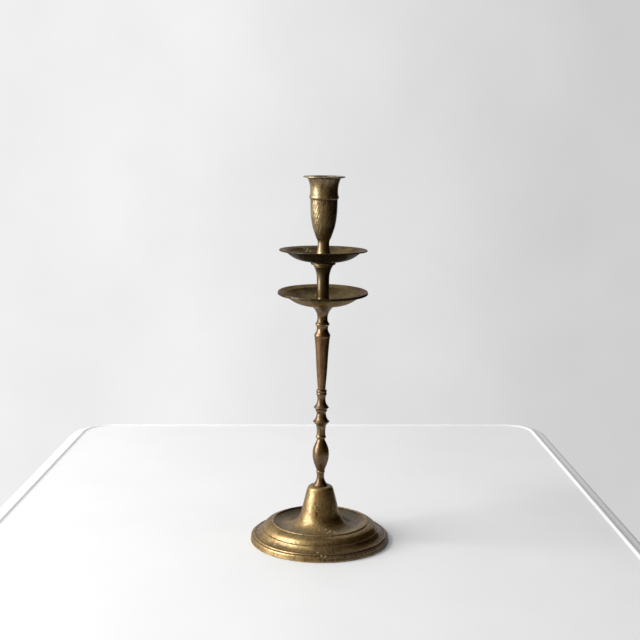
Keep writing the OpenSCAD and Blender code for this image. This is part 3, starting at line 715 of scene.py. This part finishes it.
class CANDLESTICK_OT_stem(bpy.types.Operator):
    """Turns the four pieces of the stem: baluster, knop, shaft and capital"""

    bl_idname = "candlestick.stem"
    bl_label = "Stem"

    def execute(self, context):
        look = settings("finish")
        # Dark olive brown, glossy, with light only in its highlights
        brass = old_brass(
            "turned_brass_tarnished", look.stem_metal, tarnished=0.68, mottled=0.6,
            rough=0.29, stained=0.3, lines=0.35, runs=0.25, coat=0.8, rub=0.12)
        # The same, redder, and with more runs down its length
        copper = old_brass(
            "turned_red_brass_tarnished", look.shaft_metal, tarnished=0.56, mottled=0.5,
            rough=0.3, stained=0.3, lines=0.35, runs=0.45, coat=0.7, rub=0.1)
        for seed, node in enumerate(("baluster", "knop", "shaft", "capital"), 20):
            metal, slot = brass, "turned_brass"
            if node == "shaft":
                metal, slot = copper, "copper_brass"
            shape = Turning(node, sides=144, step=0.5 * MM, coarse=3, inside=in_bore)
            raised = 0.03 * MM * (unevenness(shape.shell(), 8 * MM, seed) - 1)
            raised *= soft_step(BORE, BODY, shape.r)[:, None]
            # The stem is seldom rubbed, so its edges are half as bright; its undersides get
            # painted shade
            edge = shape.edge - 0.5 * np.maximum(shape.edge, 0) - 0.4 * underside(shape)
            piece = shape.build(node + "_turning", raised, edge=edge[:, None])
            finish(piece, "stand", metal)
        return {"FINISHED"}


def in_bore(outline):
    """Which points of an outline lie in the bore of the piece's stud."""
    return outline[:, 0] < 2.8 * MM


class CANDLESTICK_OT_pans(bpy.types.Operator):
    """Turns the two drip pans, each leaning a little on its seat"""

    bl_idname = "candlestick.pans"
    bl_label = "Drip pans"

    # Drops of wax and crumbs of verdigris in the bowls: x, y, z and radius, in millimetres
    drops = (
        (-15.3, 29.6, 279.5, 1.5), (-12.5, 28.1, 277.8, 1.2), (-16.3, 26.4, 277.9, 1),
        (-10.2, 30.4, 278.8, 0.7), (-18.6, 29, 280.2, 0.8), (-6.9, 24.6, 234.3, 0.8),
    )

    def execute(self, context):
        look, how = settings("finish"), settings("turning")
        # The lower pan's film is olive brown; the upper pan's is thicker, hides the metal and
        # also paints the shade under that pan
        brown, dark = (
            old_brass(name, look.pan_metal, tarnished=tarnished, mottled=0.5, rough=0.3,
                      dusty=0.06, stained=0.05, lines=0.3, runs=0.05, rub=0.2,
                      film_tone=look.patina, crust=crust)
            for name, tarnished, crust in (
                ("turned_brass_with_brown_patina", 0.55, look.wax),
                ("turned_brass_with_dark_patina_and_painted_shade", 0.72, look.verdigris),
            )
        )
        # `shade` paints shade on a pan's undersides, `line` a dark line of painted shade along
        # the front of its rim
        for node, lean, brass, shade, line, roll in (
            ("lower_pan", how.lower_tilt, brown, 0, 1.4, 0.55 * MM),
            ("upper_pan", -how.upper_tilt, dark, 0.8, 0.2, 0.2 * MM),
        ):
            shape = Turning(node, sides=320, step=0.62 * MM)
            points, inward = shape.shell(), shape.r.max() - shape.r
            wave = unevenness(points, 24 * MM, 31)
            # The rim is a little thicker than the flange, on its lower side
            reach = 1 - soft_step(1.1 * MM, 2.2 * MM, inward)
            raised = 0.05 * MM * (wave - 1) + (roll * reach * underside(shape))[:, None]
            dust = facing_up(shape) * (shape.r < 36 * MM)
            marks = spots(points, self.drops)
            # Painted shade on the outer wall and lower side of the rim
            rim = 1 - soft_step(0.6 * MM, 1.2 * MM, inward)
            edge = shape.edge - 1.6 * rim * (shape.out_z < 0.8) - shade * underside(shape)
            # Painted shade lies along the front of the rim, on its upper side too
            front = soft_step(0.1, 0.5, -np.sin(shape.angle))
            edge = edge[:, None] - line * (rim * (shape.out_z >= 0.8))[:, None] * front
            piece = shape.build(node + "_bowl", raised + 0.1 * MM * marks,
                                lambda p: leaning(p, lean), dust=dust[:, None], marks=marks,
                                edge=edge)
            finish(piece, node, brass)
        return {"FINISHED"}


def leaning(points, lean):
    """How far a pan's points rise when its bowl leans by an angle to the front: y · tan(lean),
    from nothing on the hub to all of it in the bowl."""
    radius = np.hypot(points[..., 0], points[..., 1])
    return points[..., 1] * math.tan(lean) * soft_step(12.5 * MM, 22 * MM, radius)


class CANDLESTICK_OT_cup(bpy.types.Operator):
    """Turns the candle cup with its hammered goblet, and the spacer between the pans"""

    bl_idname = "candlestick.cup"
    bl_label = "Candle cup and spacer"

    def execute(self, context):
        look, how = settings("finish"), settings("turning")
        shape = Turning("candle_cup", sides=256, step=0.5 * MM, coarse=1.6,
                        inside=lambda o: o[:, 0] < 11.3 * MM)
        low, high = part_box("candle_cup")
        hammered, where = strokes(shape, low.z + 21 * MM, low.z + 56 * MM, math.radians(17))
        raised = 0.03 * MM * (unevenness(shape.shell(), 10 * MM, 51) - 1)
        raised -= how.stroke_depth * hammered
        raised *= soft_step(BORE, BODY, shape.r)[:, None]
        # Painted shade: a little on the undersides, more on the top of the lip
        lip = soft_step(high.z - 1.6 * MM, high.z - 0.8 * MM, shape.z)
        shade = 0.35 * underside(shape) + 0.75 * lip
        edge = shape.edge[:, None] + 0.3 * where - 0.95 * hammered - shade[:, None]
        goblet = shape.build("candle_cup_goblet", raised, edge=edge)
        # Handled most, so the metal shows pale between dark strokes
        brass = old_brass(
            "turned_brass_hammered_and_handled", look.cup_metal, tarnished=0.38, mottled=0.6,
            rough=0.36, stained=0.1, lines=0.3, runs=0.4, coat=0.7, rub=0.2)
        finish(goblet, "cup", brass)
        shape = Turning("spacer", sides=160, step=0.5 * MM, coarse=3, inside=in_bore)
        # Painted shade on the spacer's undersides
        edge = shape.edge - 0.5 * underside(shape)
        column = shape.build("spacer_column", edge=edge[:, None])
        # Hands seldom reach it: an even olive film with a gloss
        olive = old_brass(
            "turned_brass_olive", look.stem_metal, tarnished=0.6, mottled=0.5, rough=0.25,
            stained=0.1, lines=0.35, runs=0.2, coat=0.9, rub=0.12, film_tone=look.patina)
        finish(column, "spacer", olive)
        return {"FINISHED"}


class CANDLESTICK_OT_fixings(bpy.types.Operator):
    """Threads the six studs and makes the nut and the washer under the base"""

    bl_idname = "candlestick.fixings"
    bl_label = "Studs, nut and washer"

    def execute(self, context):
        look, how = settings("finish"), settings("turning")
        steel = rolled_steel("carbon_steel_rolled_thread")
        pitch = how.thread_pitch
        for node, body, rise in (
            ("base_stud", "stand", pitch), ("baluster_stud", "stand", pitch * 7 / 8),
            ("knop_stud", "stand", pitch * 7 / 8), ("shaft_stud", "stand", pitch),
            ("lower_pan_stud", "stand", pitch), ("upper_pan_stud", "spacer", pitch),
        ):
            piece = threaded(node + "_thread", node, pitch=rise, depth=0.55 * rise)
            finish(piece, body, steel)
        nut = hexagon_nut("base_nut_hexagon", "base_nut", how.nut_width, bore=2.55 * MM)
        finish(nut, "stand", steel)
        # Sheet that was never polished: half under its film, and dull
        plain = old_brass("rolled_brass_sheet", look.stem_metal, tarnished=0.5, mottled=0.5,
                          rough=0.35)
        washer = Turning("base_washer", sides=120, step=0.5 * MM).build("base_washer_ring")
        finish(washer, "stand", plain)
        return {"FINISHED"}


class CANDLESTICK_OT_stage(bpy.types.Operator):
    """Sets up the white table, the wall, the window light and the camera"""

    bl_idname = "candlestick.stage"
    bl_label = "Table, light and camera"

    def execute(self, context):
        for part in (self.table, self.wall, self.screen, self.lights, self.camera):
            part(settings("studio"))
        return {"FINISHED"}

    def table(self, studio):
        """A tray table: the path round its top is a polygon with rounded corners. The flat
        top's rings are smaller paths, and the rim's section is carried along the path."""
        corners = np.array([(-335, -360), (-303, 429), (274.5, 459), (315, -360)]) * MM
        path = round_corners(corners, radius=35 * MM, count=12)
        way = np.roll(path, -1, axis=0) - np.roll(path, 1, axis=0)
        way /= np.linalg.norm(way, axis=1, keepdims=True)
        out = np.stack([-way[:, 1], way[:, 0]], axis=1)
        rings = [(path * share, 0) for share in (0.25, 0.5, 0.75, 0.9, 0.97)]
        # Across the rim: distance outward and height, in millimetres
        rim = ((-1, 0), (0, 0), (0.8, 0.5), (1.8, 1.2), (2.8, 1.5), (3.9, 1.3), (5, 0.3),
               (6.5, -0.8), (11, -1.2), (15, -1.9), (17.5, -3.6), (18.4, -6.5), (18.5, -22))
        rings += [(path + out * across * MM, height * MM) for across, height in rim]
        points = [np.insert(ring, 2, height, axis=1) for ring, height in rings]
        top = make_mesh("stage_table", np.concatenate([[[0, 0, 0]], *points]),
                        grid_faces(len(rings) + 1, len(path), first_pole=True))
        top.data.materials.append(painted_board(studio.table))

    def wall(self, studio):
        """A flat wall behind the table: a grid over width and height. Its paint is matt, so it
        has no highlight. To the camera and in reflections it glows with painted light: a tone
        that falls off from the window's side to the far side, standing for the window's light on
        it."""
        x, z = np.meshgrid(np.linspace(-3, 3, 13), np.linspace(-1.3, 3, 9))
        points = np.stack([x, 0 * x + 1.35, z], axis=2)
        wall = make_mesh("stage_wall", points, sheet_faces(*x.shape))
        made, tree, where = new_material("plaster_glowing_with_painted_light")
        tone = graded(tree, where, (-0.27, studio.wall_left), (0.52, studio.wall_right))
        cloud = add(tree, "ShaderNodeTexNoise", {"Vector": where, "Scale": 4, "Detail": 3})
        soft = add(tree, "ShaderNodeMapRange", {0: cloud, 1: 0.3, 2: 0.7, 3: 0.97, 4: 1.03})
        glow = add(tree, "ShaderNodeEmission", {"Color": tone, "Strength": soft})
        matt = add(tree, "ShaderNodeBsdfDiffuse", {"Color": tone})
        seen = 0
        for ray in ("Is Camera Ray", "Is Glossy Ray", "Is Transmission Ray"):
            path = add(tree, "ShaderNodeLightPath", output=ray)
            seen = add(tree, "ShaderNodeMath", {0: path, 1: seen}, operation="ADD",
                       use_clamp=True)
        both = add(tree, "ShaderNodeMixShader", {0: seen, 1: matt, 2: glow})
        add(tree, "ShaderNodeOutputMaterial", {0: both})
        wall.data.materials.append(made)

    def screen(self, studio):
        """A screen that only reflections show: it darkens the metal's right side and browns
        its front. It is a part of a sphere of 1.55 m about a point 0.1 m up the stem, from
        the left of the camera round to the right, where it rises 24 degrees higher."""
        turn, rise = np.meshgrid(
            np.radians(np.linspace(-122, 55, 44)), np.radians(np.linspace(-25, 52, 20))
        )
        rise = rise + math.radians(24) * soft_step(-1.4, 0, turn) * soft_step(0, 0.9, rise)
        reach, middle = 1.55, 0.1
        points = around(reach * np.cos(rise), reach * np.sin(rise) + middle, turn)
        screen = make_mesh("stage_screen", points, sheet_faces(*turn.shape))
        # Cloth has no highlight: brown where it faces the light, nearly black at the right
        made, tree, where = new_material("brown_cloth")
        tone = graded(tree, where, (-0.8, studio.screen_front), (1.1, studio.screen_right))
        matt = add(tree, "ShaderNodeBsdfDiffuse", {"Color": tone})
        add(tree, "ShaderNodeOutputMaterial", {0: matt})
        screen.data.materials.append(made)
        screen.visible_camera = screen.visible_diffuse = screen.visible_shadow = False

    def lights(self, studio):
        """One large soft window at the left front, and an even pale room."""
        lamp = bpy.data.lights.new("window", "AREA")
        lamp.shape = "RECTANGLE"
        lamp.size, lamp.size_y = studio.window_width, studio.window_height
        lamp.energy = studio.window_power
        window = bpy.data.objects.new("window", lamp)
        window.location = (-1.8, -0.47, 0.88)
        aim = Vector((0, 0, 0.14)) - window.location
        window.rotation_mode = "QUATERNION"
        window.rotation_quaternion = aim.to_track_quat("-Z", "Y")
        window.visible_camera = False
        bpy.context.scene.collection.objects.link(window)
        world = bpy.data.worlds.new("pale_room")
        world.use_nodes = True
        world.node_tree.nodes.clear()
        glow = add(world.node_tree, "ShaderNodeBackground",
                   {"Color": rgba(studio.sky), "Strength": studio.sky_strength})
        add(world.node_tree, "ShaderNodeOutputWorld", {0: glow})
        bpy.context.scene.world = world

    def camera(self, studio):
        """The camera at the photograph's angle, in front of the stem and above it."""
        lens = bpy.data.cameras.new("camera")
        lens.lens, lens.sensor_width = studio.lens, 36
        lens.shift_x = studio.camera_shift
        camera = bpy.data.objects.new("camera", lens)
        camera.location = (0, -studio.camera_back, studio.camera_height)
        # First the roll about its own line of sight, then up from looking straight down
        camera.rotation_mode = "ZYX"
        camera.rotation_euler = (math.pi / 2 - studio.camera_down, 0, studio.camera_roll)
        bpy.context.scene.collection.objects.link(camera)
        bpy.context.scene.camera = camera
        bpy.context.scene.view_settings.view_transform = "Standard"


def round_corners(corners, radius, count):
    """A closed path round a polygon whose corners are replaced by curves: each curve runs as
    (1-t)² a + 2t(1-t) corner + t² b, from one point `radius` before to one `radius` after."""
    a, b = (
        corners + radius * way / np.linalg.norm(way, axis=1, keepdims=True)
        for way in (np.roll(corners, turn, axis=0) - corners for turn in (1, -1))
    )
    t = np.linspace(0, 1, count)[None, :, None]
    path = (1 - t) ** 2 * a[:, None] + 2 * t * (1 - t) * corners[:, None] + t**2 * b[:, None]
    return path.reshape(-1, 2)


def graded(tree, where, left, right):
    """A tone that changes along X, from one at the left to another at the right: each is
    given as its place in metres and its colour."""
    across = add(tree, "ShaderNodeSeparateXYZ", {0: where})
    share = add(tree, "ShaderNodeMapRange", {0: across, 1: left[0], 2: right[0]})
    return add(tree, "ShaderNodeMix", {0: share, 6: rgba(left[1]), 7: rgba(right[1])}, 2,
               data_type="RGBA")


def painted_board(value):
    """White satin paint brushed on board: even, with a wide soft highlight, and clouds of
    about 110 mm in which the tone drifts by 3.5 %."""
    made, tree, where = new_material("white_paint_on_board")
    tone = add(tree, "ShaderNodeTexNoise", {"Vector": where, "Scale": 9, "Detail": 4})
    level = add(tree, "ShaderNodeMapRange", {0: tone, 1: 0.3, 2: 0.7})
    darker = [0.965 * c for c in value]
    skin = add(tree, "ShaderNodeMix", {0: level, 6: rgba(value), 7: rgba(darker)}, 2,
               data_type="RGBA")
    shader = add(tree, "ShaderNodeBsdfPrincipled", {
        "Base Color": skin, "Roughness": 0.5, "Specular IOR Level": 0.3})
    add(tree, "ShaderNodeOutputMaterial", {0: shader})
    return made


class CANDLESTICK_PT_panel(bpy.types.Panel):
    """Lists the candlestick's pieces and settings"""

    bl_idname = "CANDLESTICK_PT_panel"
    bl_label = "Candlestick"
    bl_space_type = "VIEW_3D"
    bl_region_type = "UI"
    bl_category = "Candlestick"

    def draw(self, context):
        for kind in SETTINGS:
            column = self.layout.column(heading=kind.capitalize())
            group = settings(kind)
            for name in group.__annotations__:
                column.prop(group, name)
        for operator in OPERATORS:
            self.layout.operator(operator.bl_idname)


SETTINGS = {
    "turning": CANDLESTICK_PG_turning,
    "finish": CANDLESTICK_PG_finish,
    "studio": CANDLESTICK_PG_studio,
}
OPERATORS = (
    CANDLESTICK_OT_base, CANDLESTICK_OT_stem, CANDLESTICK_OT_pans, CANDLESTICK_OT_cup,
    CANDLESTICK_OT_fixings, CANDLESTICK_OT_stage,
)


def register():
    for kind, group in SETTINGS.items():
        bpy.utils.register_class(group)
        setattr(bpy.types.Scene, "candlestick_" + kind, PointerProperty(type=group))
    for operator in OPERATORS:
        bpy.utils.register_class(operator)
    bpy.utils.register_class(CANDLESTICK_PT_panel)


def unregister():
    bpy.utils.unregister_class(CANDLESTICK_PT_panel)
    for operator in reversed(OPERATORS):
        bpy.utils.unregister_class(operator)
    for kind, group in SETTINGS.items():
        delattr(bpy.types.Scene, "candlestick_" + kind)
        bpy.utils.unregister_class(group)


def main():
    """Makes the pieces and the stage in order."""
    register()
    for operator in OPERATORS:
        getattr(bpy.ops.candlestick, operator.bl_idname.split(".")[1])()


if __name__ == "__main__":
    main()
